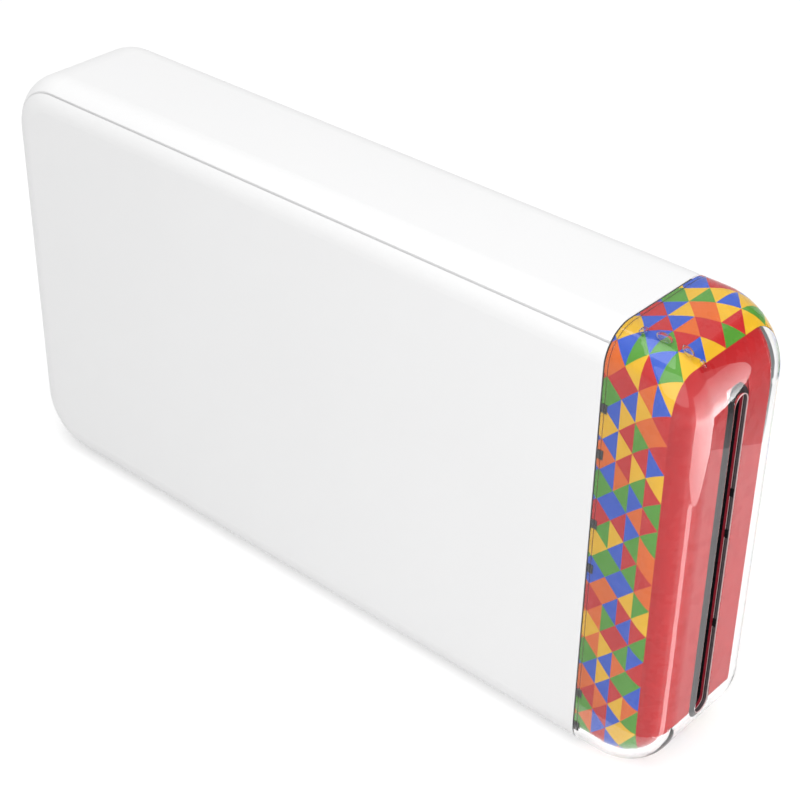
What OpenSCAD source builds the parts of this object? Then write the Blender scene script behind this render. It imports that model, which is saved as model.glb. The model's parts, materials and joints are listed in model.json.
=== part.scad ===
// Compact photo printer with a hinged, clear end door.
// The pieces are drawn with the printer lying on its back: x runs along the length towards
// the door, y across the width and z from the back face to the front face.
// stand() then sets it up on its long narrow side.

/* [Body] */
// Overall length, end door included
body_l = 150; // [140:1:165]
// Overall width
body_w = 80; // [78:1:90]
// Overall thickness
body_t = 27; // [26:0.5:32]
// Radius of the four corners seen from the front
corner_r = 11.5; // [10:0.5:14]
// Radius of the edge that runs all round
edge_r = 5.6; // [4.5:0.1:7]
// Wall thickness of the housing
wall = 2; // [1.6:0.1:2.4]
// Distance from the front face back to the parting line
parting_depth = 1.2; // [1:0.1:1.6]
// Width of the parting line
seam_gap = 0.25; // [0.15:0.05:0.4]
// Side clearance of pieces that drop into the housing
fit_gap = 0.15; // [0.1:0.05:0.25]

/* [End door] */
// Length of the clear end door
door_depth = 15.6; // [14:0.2:20]
// Gap between the door and the housing
door_gap = 0.3; // [0.2:0.05:0.5]
// Wall thickness of the clear shell
shell_wall = 1.7; // [1.2:0.1:2]
// Wall thickness of the coloured liner
liner_wall = 1.2; // [0.8:0.1:1.6]
// Wall thickness of the inner door frame
frame_wall = 1.2; // [1:0.1:1.6]
// Gap between the layers of the door
layer_gap = 0.1; // [0.05:0.05:0.2]
// Distance of the hinge axis in from the back face and from the door joint
hinge_inset = 3; // [2.8:0.1:3.6]
// Radius of the hinge pins
hinge_pin_r = 0.7; // [0.5:0.05:0.9]
// Distance of each hinge arm in from the start of the corner
hinge_in = 6.5; // [4:0.5:10]
// Width of each hinge arm
hinge_arm_w = 3.4; // [2.5:0.1:5]
// Width of the paper slot
slot_w = 3.6; // [3:0.1:4.5]
// Distance of each end of the paper slot in from the side of the bay
slot_margin = 0.5; // [0.3:0.1:2]
// Height of the slot's middle above the middle plane
slot_z = 0.7; // [0:0.1:1.5]
// Width of the dark rim round the paper slot
bezel_rim = 0.9; // [0.6:0.1:1.2]

/* [Cartridge bay] */
// Gap between the gears and the housing wall
side_gap = 0.6; // [0.5:0.1:1.5]
// Clear height of the bay
bay_h = 8.5; // [8.5:0.1:9]
// Height of the deck's top face above the middle plane
deck_z = -1; // [-1.2:0.1:-0.9]
// Thickness of the deck
deck_t = 1.2; // [1:0.1:1.4]
// Thickness of the side rails and bulkheads
rail_t = 1.2; // [1:0.1:1.4]
// Room between the end of the printer and the bay, for the circuit board
board_room = 29; // [28:0.5:31]
// Distance from the door joint back to the front of the mouth frame
mouth_back = 0.8; // [0.5:0.1:1.2]

/* [Paper feed] */
// Radius of the rubber platen roller
platen_r = 4.3; // [4:0.1:4.4]
// Distance from the feed roller's axis back to the platen roller's axis
platen_back = 8.4; // [8:0.1:9]
// How far the platen stands above the deck
platen_proud = 0.4; // [0.2:0.1:0.5]
// Distance of each end of the rollers in from the side of the bay
roller_margin = 3.5; // [3.2:0.1:6]
// Radius of the steel feed roller
feed_r = 2.5; // [2.3:0.1:2.6]
// Distance from the front of the mouth frame back to the feed roller's axis
feed_back = 7.45; // [7.2:0.05:8]
// How far the feed roller lies below the deck's top face
feed_low = 0.2; // [0:0.1:0.4]
// Radius of the pinch roller
pinch_r = 1.2; // [1:0.1:1.2]
// Radius of the roller journals
journal_r = 1; // [0.8:0.1:1.1]
// Running clearance of every shaft in its bore
run_gap = 0.05; // [0.03:0.01:0.08]

/* [Head arm] */
// Distance from the arm's pivot to the heater line
arm_reach = 32; // [31:0.5:33]
// Height of the arm's pivot
pivot_z = 9.3; // [9.1:0.1:9.4]
// Angle from the open arm to the printing arm
head_swing = 14.2; // [13:0.1:14.4]
// Thickness of the arm's sheet metal
arm_t = 1; // [0.8:0.1:1.1]
// Distance of the heater line ahead of the platen roller's axis
heater_ahead = 1.4; // [1:0.1:1.6]
// Distance of the pinch roller ahead of the feed roller's axis
pinch_ahead = 1; // [0.8:0.1:1.2]

/* [Gears] */
// Module of all gears
gear_m = 0.5; // [0.45:0.01:0.5]
// Play between two teeth, at the pitch circle
tooth_play = 0.16; // [0.1:0.01:0.22]
// Teeth of each motor pinion
pinion_z = 10; // [10:1:11]
// Teeth of the large and the small ring of the first reduction gear
gear1_z = [24, 12];
// Teeth of the large and the small ring of the second reduction gear
gear2_z = [30, 12];
// Teeth of the feed roller's gear
feed_z = 16; // [14:1:16]
// Teeth of the take-up idler
idler_z = 20; // [18:1:20]
// Teeth of the take-up gear
takeup_z = 16; // [14:1:16]
// Teeth of the head arm's sector, counted on the full circle
sector_z = 54; // [52:1:54]
// Width of each gear
gear_w = 1.8; // [1.4:0.1:1.9]

/* [Electronics] */
// Gap between the battery and the lift motor
battery_gap = 4; // [2:0.5:8]
// Distance of each side of the battery in from the side of the bay
battery_margin = 3; // [1:0.5:8]
// Thickness of the battery
battery_t = 6.6; // [5:0.1:7]
// Thickness of the circuit board
board_t = 1; // [0.8:0.1:1.6]
// Height of the charging port, lamps and button above the middle plane
port_z = 1.4; // [1:0.1:2]
// Place of the charging port across the width
port_y = 16; // [10:1:20]
// Place of the power button across the width
button_y = -18; // [-20:1:-14]
// Length of the power button
button_l = 9; // [7:0.5:11]
// Height of the power button
button_h = 4.4; // [3.5:0.1:5]
// Travel of the power button
button_travel = 0.5; // [0.3:0.1:0.6]

/* [Hidden] */

// Overlap that keeps joined forms one solid, and that runs cuts past a face
e = 0.01;
past = 1;

end_x = body_l / 2;
half_w = body_w / 2;
half_t = body_t / 2;
spine_x = end_x - corner_r;
spine_y = half_w - corner_r;
split_x = end_x - door_depth;
house_x = split_x - door_gap / 2;
door_x = split_x + door_gap / 2;

// Distances s run outward from the spine rectangle that the corner arcs turn about
inner_s = corner_r - wall;
inner_r = edge_r - wall;
parting_z = half_t - parting_depth;
lip_z = parting_z - 1.5;
lip_s = edge_s(parting_z) - wall;
chamfer_z = lip_z - (inner_s - lip_s);
floor_z = -half_t + wall;
roof_z = half_t - wall;
side_y = half_w - wall;
function edge_s(z) = corner_r - edge_r
    + sqrt(pow(edge_r, 2) - pow(max(0, abs(z) - (half_t - edge_r)), 2));

// Two layers of gears lie between the side rail and the housing wall
rail_clear = 0.8;
layer_step = 0.3;
cap_t = 0.4;
end_play = 0.1;
bay_half = half_w - wall - side_gap - cap_t - end_play - 2 * gear_w - layer_step - rail_clear - rail_t;
bay_w = 2 * bay_half;
rail_y = bay_half + rail_t;
layer_a = rail_y + rail_clear;
layer_b = layer_a + gear_w + layer_step;
axle_end = layer_b + gear_w + end_play;

mouth_x = house_x - mouth_back;
bay_rear_x = -end_x + board_room;
feed_x = mouth_x - feed_back;
platen_x = feed_x - platen_back;
heater_x = platen_x + heater_ahead;
pinch_x = feed_x + pinch_ahead;
pivot_x = heater_x - arm_reach;
roller_l = bay_w - 2 * roller_margin;
slot_l = bay_w - 2 * slot_margin;
hinge_y = spine_y - hinge_in;
bay_roof = deck_z + bay_h;
rail_top = bay_roof + rail_t;
deck_bottom = deck_z - deck_t;
hinge_x = split_x + hinge_inset;
hinge_z = -half_t + hinge_inset;

platen_z = deck_z + platen_proud - platen_r;
feed_roll_z = deck_z - feed_low - feed_r;
cover_clear = 0.3;
pinch_z = roof_z - 0.2 - pinch_r;
head_low = bay_roof + 0.1;
arm_top = roof_z - cover_clear;
arm_low = arm_top - arm_t;

axle_r = 0.75;
screw_r = 0.8;

function pitch_r(z) = gear_m * z / 2;
function polar(c, d, a) = [c[0] + d * cos(a), c[1] + d * sin(a)];
function dist_z(za, zb) = pitch_r(za) + pitch_r(zb);
// Turn of gear B that puts its gap over gear A's tooth, along direction a from A to B
function mesh_turn(a, za, turn_a, zb) = a + 180 - 180 / zb + (a - turn_a) * za / zb;

feed_c = [feed_x, feed_roll_z];
gear2_a = 150;
gear1_a = 190;
gear2_c = polar(feed_c, dist_z(feed_z, gear2_z[1]), gear2_a);
gear1_c = polar(gear2_c, dist_z(gear2_z[0], gear1_z[1]), gear1_a);
motor_z = -6.8;
motor_d = dist_z(gear1_z[0], pinion_z);
motor_a = 180 + asin((gear1_c[1] - motor_z) / motor_d);
motor_c = polar(gear1_c, motor_d, motor_a);
idler_a = 150;
idler_c = polar(motor_c, dist_z(pinion_z, idler_z), idler_a);
takeup_a = 135.6;
takeup_c = polar(idler_c, dist_z(idler_z, takeup_z), takeup_a);
feed_turn = 0;
gear2_turn = mesh_turn(gear2_a, feed_z, feed_turn, gear2_z[1]);
gear1_turn = mesh_turn(gear1_a, gear2_z[0], gear2_turn, gear1_z[1]);
motor_turn = mesh_turn(motor_a, gear1_z[0], gear1_turn, pinion_z);
idler_turn = mesh_turn(idler_a, pinion_z, motor_turn, idler_z);
takeup_turn = mesh_turn(takeup_a, idler_z, idler_turn, takeup_z);
pivot_c = [pivot_x, pivot_z];
lift_c = polar(pivot_c, dist_z(sector_z, pinion_z), -90);
lift_turn = mesh_turn(-90, sector_z, -90, pinion_z);
battery_x = bay_rear_x + 1;
lift_motor_r = 4;
battery_l = lift_c[0] - lift_motor_r - battery_gap - battery_x;
battery_w = bay_w - 2 * battery_margin;
port_h = 3.2;
board_low = port_z - port_h / 2 - board_t;
board_x = [-end_x + wall + 2, bay_rear_x - rail_t - 2.3];
board_half = bay_half;

// Colours
c_white = "whitesmoke";
c_dark = "dimgray";
c_black = [0.12, 0.12, 0.13];
c_steel = "silver";
c_gear = "ivory";

// ---------- shared forms ----------

module stand() {
    translate([0, 0, half_w]) rotate([90, 0, 0]) children();
}

// Plan outline at distance s outward from the spine
module plan(s) {
    square([2 * (spine_x + s), 2 * spine_y], center = true);
    square([2 * spine_x, 2 * (spine_y + s)], center = true);
    for (x = [-spine_x, spine_x], y = [-spine_y, spine_y])
        translate([x, y]) circle(s, $fn = 64);
}

// Section of a wall with round edges: s runs outward, z up
module edge_profile(s, r, t) {
    translate([0, -t / 2]) square([s - r, t]);
    translate([0, -t / 2 + r]) square([s, t - 2 * r]);
    for (side = [-1, 1]) translate([s - r, side * (t / 2 - r)]) circle(r, $fn = 64);
}

// Carries a section round the spine and fills the middle from z0 to z1
module sweep_round(z0, z1) {
    for (q = [[1, 1, 0], [-1, 1, 90], [-1, -1, 180], [1, -1, 270]])
        translate([q[0] * spine_x, q[1] * spine_y, 0])
            rotate(q[2]) rotate_extrude(angle = 90, $fn = 64) children();
    for (k = [0 : 3]) {
        out = k % 2 == 0 ? spine_x : spine_y;
        run = k % 2 == 0 ? 2 * spine_y : 2 * spine_x;
        rotate(90 * k) translate([out, run / 2, 0])
            rotate([90, 0, 0]) linear_extrude(run) children();
    }
    translate([-spine_x, -spine_y, z0]) cube([2 * spine_x, 2 * spine_y, z1 - z0]);
}

// The whole printer's outline, drawn in by inset on every side
module slab(inset) {
    sweep_round(-half_t + inset, half_t - inset)
        edge_profile(corner_r - inset, edge_r - inset, body_t - 2 * inset);
}

// Section of the hollow in the housing, smaller by gap
module hollow_profile(gap) {
    s = inner_s - gap;
    low = floor_z;
    translate([0, low]) square([s - inner_r, parting_z - low + past]);
    translate([0, low + inner_r]) square([s, chamfer_z - low - inner_r]);
    translate([s - inner_r, low + inner_r]) circle(inner_r, $fn = 64);
    polygon([[0, chamfer_z], [s, chamfer_z], [lip_s - gap, lip_z],
        [lip_s - gap, parting_z + past], [0, parting_z + past]]);
}

// Everything between x0 and x1
module x_range(x0, x1) {
    intersection() {
        children();
        translate([x0, -half_w - past, -half_t - past])
            cube([x1 - x0, body_w + 2 * past, body_t + 2 * past]);
    }
}

// Carries a drawing in x and z along y from y0 to y1
module along_y(y0, y1) {
    translate([0, y1, 0]) rotate([90, 0, 0]) linear_extrude(y1 - y0) children();
}

// Carries a drawing in y and z along x from x0 to x1
module along_x(x0, x1) {
    translate([x0, 0, 0]) rotate([90, 0, 90]) linear_extrude(x1 - x0) children();
}

module rod_y(c, r, y0, y1) {
    along_y(y0, y1) translate(c) circle(r, $fn = 48);
}

module block(x, y, z) {
    translate([x[0], y[0], z[0]]) cube([x[1] - x[0], y[1] - y[0], z[1] - z[0]]);
}

module stadium(l, h) {
    square([l - h, h], center = true);
    for (side = [-1, 1]) translate([side * (l - h) / 2, 0]) circle(h / 2, $fn = 48);
}

module round_rect(l, w, r) {
    square([l - 2 * r, w], center = true);
    square([l, w - 2 * r], center = true);
    for (x = [-1, 1], y = [-1, 1])
        translate([x * (l / 2 - r), y * (w / 2 - r)]) circle(r, $fn = 32);
}

// ---------- gears ----------

function inv_deg(rb, r) = r <= rb ? 0 : sqrt(pow(r / rb, 2) - 1) * 180 / PI - acos(rb / r);
function base_r(z) = pitch_r(z) * cos(20);
// Half the angle of a tooth at radius r
function tooth_half(z, r) = 90 / z - tooth_play / 4 / pitch_r(z) * 180 / PI
    + inv_deg(base_r(z), pitch_r(z)) - inv_deg(base_r(z), r);
function tooth_radii(z) = [pitch_r(z) - 1.2 * gear_m, max(base_r(z), pitch_r(z) - 0.5 * gear_m),
    pitch_r(z) + 0.3 * gear_m, pitch_r(z) + 0.85 * gear_m];

module teeth(z, turn, first, last) {
    radii = tooth_radii(z);
    polygon([for (k = [first : last]) let (a = turn + 360 * k / z) each concat(
        [for (i = [0 : 3]) polar([0, 0], radii[i], a - tooth_half(z, radii[i]))],
        [for (i = [3 : -1 : 0]) polar([0, 0], radii[i], a + tooth_half(z, radii[i]))])]);
}

// One toothed ring between y0 and y1, with its bore
module gear_ring(c, z, turn, bore, y0, y1) {
    along_y(y0, y1) translate(c) difference() {
        teeth(z, turn, 0, z - 1);
        circle(bore, $fn = 48);
    }
}

module hub(c, r, bore, y0, y1) {
    along_y(y0, y1) translate(c) difference() {
        circle(r, $fn = 48);
        circle(bore, $fn = 48);
    }
}

// ---------- housing ----------

clip_l = 7;
clip_places = [[board_x[0] + 31, 1], [pivot_x - 22, 1], [pivot_x + 18, 1],
    [board_x[0] + 31, -1], [pivot_x - 27, -1], [pivot_x + 23, -1]];
clip_root = 1.3;
clip_face = 0.4;
clip_nose = 0.5;
clip_h = 2.9;
nose_top = 1.7;
skirt_t = 0.56;
cover_rib_t = 1;
cover_rib_h = 1.2;
cover_rib_y = [-24, -12, 12, 24];
cover_rib_end = pivot_x - 6;

// Hook that catches under the housing's lip
module cover_clip() {
    rotate([90, 0, 90]) translate([0, 0, -clip_l / 2]) linear_extrude(clip_l) polygon([
        [lip_s - clip_root, roof_z + e], [lip_s - clip_root, roof_z - clip_h],
        [lip_s - clip_face, roof_z - clip_h], [lip_s + clip_nose, roof_z - nose_top - clip_face],
        [lip_s + clip_nose, roof_z - nose_top], [lip_s - clip_face, roof_z - nose_top + 0.3],
        [lip_s - clip_face, roof_z + e]]);
}

module front_cover() {
    color(c_white) stand() {
        x_range(-end_x - past, house_x) {
            difference() {
                slab(0);
                translate([-end_x - past, -half_w - past, -half_t - past])
                    cube([body_l + 2 * past, body_w + 2 * past,
                        half_t + parting_z + seam_gap / 2 + past]);
            }
            translate([0, 0, roof_z]) linear_extrude(wall - skirt_t) plan(lip_s - fit_gap);
        }
        for (c = clip_places)
            translate([c[0], 0, 0]) mirror([0, c[1] < 0 ? 1 : 0, 0])
                translate([0, spine_y, 0]) cover_clip();
        cover_ribs();
    }
}

// Stiffening ribs inside the cover, behind the swinging arm
module cover_ribs() {
    z = [roof_z - cover_rib_h, roof_z + e];
    for (y = cover_rib_y)
        block([board_x[0] + 4, cover_rib_end], [y - cover_rib_t / 2, y + cover_rib_t / 2], z);
    for (x = [board_x[0] + 12 : 16 : cover_rib_end - 4])
        block([x - cover_rib_t / 2, x + cover_rib_t / 2], [cover_rib_y[0] - 3, cover_rib_y[3] + 3], z);
}

boss_r = 2.2;
screw_head_r = 1.6;
screw_head_h = 0.8;
chassis_boss_h = 2;
tab_reach = 2.6;
tab_places = [[bay_rear_x + 10, 1], [pivot_x - 10, 1], [bay_rear_x + 10, -1], [feed_x - 1, -1]];
tab_y = rail_y + tab_reach;
board_screw_places = [for (x = [board_x[0] + 4, board_x[1] - 3.5], side = [1, -1])
    [x, side * (board_half - 3.5)]];

module end_openings() {
    along_x(-end_x - past, -end_x + wall + past) {
        translate([port_y, port_z]) stadium(port_w + 0.3, port_h + 0.3);
        translate([button_y, port_z]) stadium(button_l + 2 * fit_gap, button_h + 2 * fit_gap);
        for (k = [0, 1]) translate([lamp_y[k], port_z]) stadium(lamp_l, lamp_h);
        translate([port_y + port_w, port_z]) circle(reset_r, $fn = 24);
    }
}

module rear_housing() {
    color(c_white) stand() {
        difference() {
            x_range(-end_x - past, house_x) slab(0);
            block([-end_x - past, house_x + past], [-half_w - past, half_w + past],
                [parting_z - seam_gap / 2, half_t + past]);
            sweep_round(floor_z, half_t + past) hollow_profile(0);
            end_openings();
        }
        for (p = tab_places) screw_boss([p[0], p[1] * tab_y], chassis_boss_h);
        for (p = board_screw_places) screw_boss(p, board_low - floor_z);
    }
}

module screw_boss(p, h) {
    translate([p[0], p[1], floor_z - e]) linear_extrude(h + e) difference() {
        circle(boss_r, $fn = 48);
        circle(screw_r, $fn = 32);
    }
}

// ---------- chassis ----------

window_gap = 0.55;
collar_l = 1.5;
collar_r = 1.6;
journal_past = 0.4;
function half_chord(r, dz) = sqrt(pow(r, 2) - pow(dz, 2));
platen_window = half_chord(platen_r, platen_z - deck_bottom) + window_gap;
feed_window = half_chord(feed_r, feed_roll_z - deck_bottom) + window_gap;
bush_r = 1.8;
bush_rim = 0.5;
bush_flange = 0.4;
latch_x = pivot_x + 18;
latch_l = 6;
latch_h = 3;
latch_z = 3;
latch_travel = 0.8;
motor_shaft_r = 0.75;
lift_shaft_r = 0.5;
spindle_r = 1.5;
hook_z = [3.6, 6.8];
hook_w = 1.2;
hook_y = bay_half + 2.4;
lead_slot = [8, 3];
lead_slot_y = -bay_half + 8;
bulkhead_rib_t = 1;
bulkhead_rib_y = [-26, -14, 14, 26];
deck_rib_h = 1;
deck_ribs = [[-18, pivot_x - 8], [-6, platen_x - 8], [6, platen_x - 8], [18, pivot_x - 8]];

module rail(side) {
    rail_x0 = bay_rear_x - rail_t;
    y0 = side > 0 ? bay_half : -rail_y;
    difference() {
        block([rail_x0, mouth_x - rail_t + e], [y0, y0 + rail_t], [floor_z, rail_top]);
        for (c = [[platen_x, platen_z], feed_c]) rod_y(c, bush_r, y0 - past, y0 + rail_t + past);
        rod_y(pivot_c, journal_r + run_gap, y0 - past, y0 + rail_t + past);
        if (side > 0) {
            rod_y(motor_c, pitch_r(pinion_z) + 0.8, y0 - past, y0 + rail_t + past);
            rod_y(takeup_c, spindle_r + run_gap, y0 - past, y0 + rail_t + past);
            for (c = [gear1_c, gear2_c, idler_c])
                rod_y(c, axle_r, y0 - past, y0 + rail_t + past);
        } else {
            rod_y(lift_c, pitch_r(pinion_z), y0 - past, y0 + rail_t + past);
            block([latch_x - latch_l / 2 - fit_gap, latch_x + latch_l / 2 + fit_gap],
                [y0 - past, y0 + rail_t + past],
                [latch_z - latch_h / 2 - fit_gap, latch_z + latch_h / 2 + fit_gap]);
        }
    }
}

module chassis() {
    color(c_dark) stand() {
        difference() {
            block([bay_rear_x - e, mouth_x - e], [-bay_half - e, bay_half + e], [deck_bottom, deck_z]);
            for (w = [[platen_x, platen_window], [feed_x, feed_window]])
                block([w[0] - w[1], w[0] + w[1]],
                    [-roller_l / 2 - collar_l - window_gap, roller_l / 2 + collar_l + window_gap],
                    [deck_bottom - past, deck_z + past]);
        }
        for (side = [-1, 1]) rail(side);
        difference() {
            block([bay_rear_x - rail_t, bay_rear_x], [-rail_y, rail_y], [floor_z, rail_top]);
            along_x(bay_rear_x - rail_t - past, bay_rear_x + past)
                translate([lead_slot_y, board_low]) stadium(lead_slot[0], lead_slot[1]);
        }
        mouth_frame();
        chassis_ribs();
        for (side = [-1, 1]) hinge_arm(side);
        for (p = tab_places) chassis_tab(p);
    }
}

// Ribs behind the rear bulkhead and under the deck
module chassis_ribs() {
    for (y = bulkhead_rib_y)
        block([bay_rear_x - rail_t - 1, bay_rear_x - rail_t + e],
            [y - bulkhead_rib_t / 2, y + bulkhead_rib_t / 2], [board_low + 4, rail_top]);
    for (rib = deck_ribs)
        block([bay_rear_x - e, rib[1]],
            [rib[0] - bulkhead_rib_t / 2, rib[0] + bulkhead_rib_t / 2],
            [deck_bottom - deck_rib_h, deck_bottom + e]);
}

module mouth_frame() {
    difference() {
        along_x(mouth_x - rail_t, mouth_x) intersection() {
            union() {
                for (side = [0, 1]) mirror([side, 0]) translate([spine_y, 0]) hollow_profile(fit_gap);
                translate([-spine_y, floor_z]) square([2 * spine_y, roof_z - floor_z]);
            }
            translate([-half_w, floor_z]) square([body_w, roof_z - fit_gap - floor_z]);
        }
        block([mouth_x - rail_t - past, mouth_x + past], [-bay_half, bay_half], [deck_z, bay_roof]);
        for (side = [-1, 1])
            along_x(mouth_x - rail_t - past, mouth_x + past)
                translate([side * (hook_y + hook_w / 2), (hook_z[0] + hook_z[1]) / 2 + 0.6])
                    square([hook_w + 0.8, hook_z[1] - hook_z[0] + 2.2], center = true);
    }
}

knuckle_r = 1.5;

module hinge_arm(side) {
    y0 = side * hinge_y - hinge_arm_w / 2;
    along_y(y0, y0 + hinge_arm_w) difference() {
        union() {
            translate([hinge_x, hinge_z]) circle(knuckle_r, $fn = 48);
            translate([mouth_x - e, floor_z])
                square([hinge_x - mouth_x, knuckle_r * 0.8 + hinge_z - floor_z]);
        }
        translate([hinge_x, hinge_z]) circle(hinge_pin_r + run_gap, $fn = 48);
    }
}

module chassis_tab(p) {
    z0 = floor_z + chassis_boss_h;
    translate([p[0], 0, z0]) linear_extrude(rail_t) mirror([0, p[1] < 0 ? 1 : 0]) difference() {
        union() {
            translate([0, tab_y]) circle(boss_r, $fn = 48);
            translate([-boss_r, rail_y - e]) square([2 * boss_r, tab_y - rail_y]);
        }
        translate([0, tab_y]) circle(screw_r, $fn = 32);
    }
}

// Pan-head screw whose head rests at height z
module screw(p, z, depth) {
    translate([p[0], p[1], 0]) {
        translate([0, 0, z - depth]) cylinder(r = screw_r, h = depth + e, $fn = 32);
        translate([0, 0, z]) difference() {
            cylinder(r = screw_head_r, h = screw_head_h, $fn = 32);
            for (a = [0, 90]) rotate(a) translate([0, 0, screw_head_h])
                cube([1.8, 0.35, screw_head_h], center = true);
        }
    }
}

module chassis_screws() {
    color(c_steel) stand() for (p = tab_places)
        screw([p[0], p[1] * tab_y], floor_z + chassis_boss_h + rail_t, rail_t + 1.8);
}

plate_t = 0.6;
plate_end = pivot_x - 4;
bead_h = 0.4;
bead_l = 20;
bead_y = 12;
vent_step = 12;

module bay_top_plate() {
    color(c_steel) stand() translate([0, 0, rail_top]) difference() {
        union() {
            block([bay_rear_x - rail_t, plate_end], [-rail_y, rail_y], [0, plate_t]);
            for (y = [-bead_y, bead_y], x = [bay_rear_x + bead_l / 2 + 1, plate_end - bead_l / 2 - 2])
                translate([x, y, -bead_h]) linear_extrude(bead_h + e) round_rect(bead_l, 6, 2);
        }
        for (x = [bay_rear_x + 8 : vent_step : plate_end - 8])
            translate([x, 0, -past]) linear_extrude(plate_t + 2 * past) round_rect(7, 14, 2);
        for (x = [bay_rear_x + 8 : vent_step : plate_end - 8], side = [-1, 1])
            translate([x, side * (bead_y + 9), -past]) linear_extrude(plate_t + 2 * past)
                round_rect(7, 8, 2);
    }
}

// ---------- electronics ----------

module main_board() {
    color("darkgreen") stand() translate([0, 0, board_low]) linear_extrude(board_t) difference() {
        translate([(board_x[0] + board_x[1]) / 2, 0])
            round_rect(board_x[1] - board_x[0], 2 * board_half, 1.5);
        for (p = board_screw_places) translate(p) circle(screw_r + 0.1, $fn = 32);
    }
}

// Packages on the board: place, size
chip_places = [[[board_x[0] + 11, 6], [9, 9, 1]], [[board_x[0] + 11, -7], [7, 7, 0.9]],
    [[board_x[1] - 4.5, 19], [4, 5, 1.8]], [[board_x[1] - 5.5, lead_slot_y + 3], [6, 3.2, 2]],
    [[board_x[0] + 4, 0], [3, 2, 1]], [[board_x[1] - 1.9, 0], [3, 20, 2]],
    [[board_x[0] + 9, 22], [3, 3, 1.2]], [[board_x[0] + 17, -1], [1.6, 0.8, 0.6]],
    [[board_x[0] + 17, 1.5], [1.6, 0.8, 0.6]], [[board_x[0] + 5, 8], [0.8, 1.6, 0.6]],
    [[board_x[0] + 5, 5.2], [0.8, 1.6, 0.6]], [[board_x[0] + 12, 13.5], [3.2, 1.6, 0.8]],
    [[board_x[0] + 12, -14], [3.2, 2.5, 1.1]], [[board_x[0] + 17, -10], [0.8, 1.6, 0.6]]];

module board_components() {
    color(c_black) stand() for (c = chip_places)
        translate([c[0][0], c[0][1], board_low + board_t]) linear_extrude(c[1][2])
            round_rect(c[1][0], c[1][1], 0.3);
}

module board_screws() {
    color(c_steel) stand() for (p = board_screw_places)
        screw(p, board_low + board_t, board_t + 3);
}

port_l = 7.4;
port_w = 9;
port_t = 0.3;
tongue = [6.6, 0.7];
reset_r = 0.5;

module charging_port() {
    color(c_steel) stand() {
        x0 = -end_x + wall + 0.2;
        difference() {
            along_x(x0, x0 + port_l) translate([port_y, port_z]) stadium(port_w, port_h);
            along_x(x0 - past, x0 + port_l - 1) translate([port_y, port_z])
                stadium(port_w - 2 * port_t, port_h - 2 * port_t);
        }
        along_x(x0 + 1, x0 + port_l - 1 + e) translate([port_y, port_z]) square(tongue, center = true);
    }
}

switch_x = -end_x + wall + 2.9;
switch_l = 3.4;
switch_w = 6;
plunger = [2.6, 1.4];
plunger_l = 0.7;

module power_switch() {
    color(c_steel) stand() {
        block([switch_x, switch_x + switch_l], [button_y - switch_w / 2, button_y + switch_w / 2],
            [board_low + board_t, port_z + plunger[1]]);
        along_x(switch_x - plunger_l, switch_x + e) translate([button_y, port_z])
            square(plunger, center = true);
    }
}

lamp_l = 3;
lamp_h = 1.2;
lamp_y = [-6, -1];
lamp_gap = 0.05;

module status_lightpipe() {
    color([0.9, 0.95, 1, 0.7]) stand() {
        for (y = lamp_y) along_x(-end_x + 0.1, -end_x + wall + 1)
            translate([y, port_z]) stadium(lamp_l - 2 * lamp_gap, lamp_h - 2 * lamp_gap);
        along_x(-end_x + wall + 0.1, -end_x + wall + 1.2)
            translate([(lamp_y[0] + lamp_y[1]) / 2, port_z]) round_rect(10, port_h, 0.6);
        block([-end_x + wall + 0.5, -end_x + wall + 1.2], [lamp_y[0] - 1, lamp_y[1] + 1],
            [board_low + board_t, port_z]);
        block([-end_x + wall + 0.5, board_x[0] + 2.4], [lamp_y[0] - 1, lamp_y[1] + 1],
            [board_low + board_t, board_low + board_t + 0.6]);
    }
}

button_flange = 1;
button_flange_t = 0.8;
stem_r = 1.2;

module power_button() {
    color(c_white) stand() {
        back = -end_x + wall + 0.2;
        along_x(-end_x + 0.1, back + e) translate([button_y, port_z]) stadium(button_l, button_h);
        along_x(back, back + button_flange_t) translate([button_y, port_z])
            stadium(button_l + 2 * button_flange, button_h + 2 * button_flange);
        along_x(back + button_flange_t - e, switch_x - plunger_l - button_travel - 0.1)
            translate([button_y, port_z]) circle(stem_r, $fn = 32);
    }
}

battery_lift = 0.1;
battery_edge = 1;
strip_l = 0.7;
strip_w = 20;

module battery() {
    color("lightsteelblue") stand() {
        x_mid = battery_x + battery_l / 2;
        translate([x_mid, 0, floor_z + battery_lift]) linear_extrude(battery_t)
            round_rect(battery_l, battery_w, 2);
        translate([battery_x - strip_l + 0.1, -strip_w / 2, floor_z + battery_edge])
            cube([strip_l, strip_w, battery_t - 2 * battery_edge]);
    }
}

cable_w = 18;
cable_t = 0.2;

module head_cable() {
    color("ivory") stand() {
        z1 = rail_top + plate_t;
        drop = board_x[1] - 0.7;
        block([drop, plate_end - 1], [-cable_w / 2, cable_w / 2], [z1, z1 + cable_t]);
        block([drop, drop + cable_t], [-cable_w / 2, cable_w / 2], [board_low + board_t + 2.2, z1 + e]);
    }
}

sensor = [4, 6, 2.4];

module ribbon_sensor() {
    x0 = platen_x - 9.6;
    color(c_black) stand() block([x0, x0 + sensor[0]], [-sensor[1] / 2, sensor[1] / 2],
        [deck_bottom - sensor[2], deck_bottom]);
}

// ---------- motors and gear train ----------

motor_l = 20;
motor_r = 5;
motor_half_h = 4;
motor_bell = 1.8;
motor_boss_h = 0.8;
saddle_w = 6;

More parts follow.
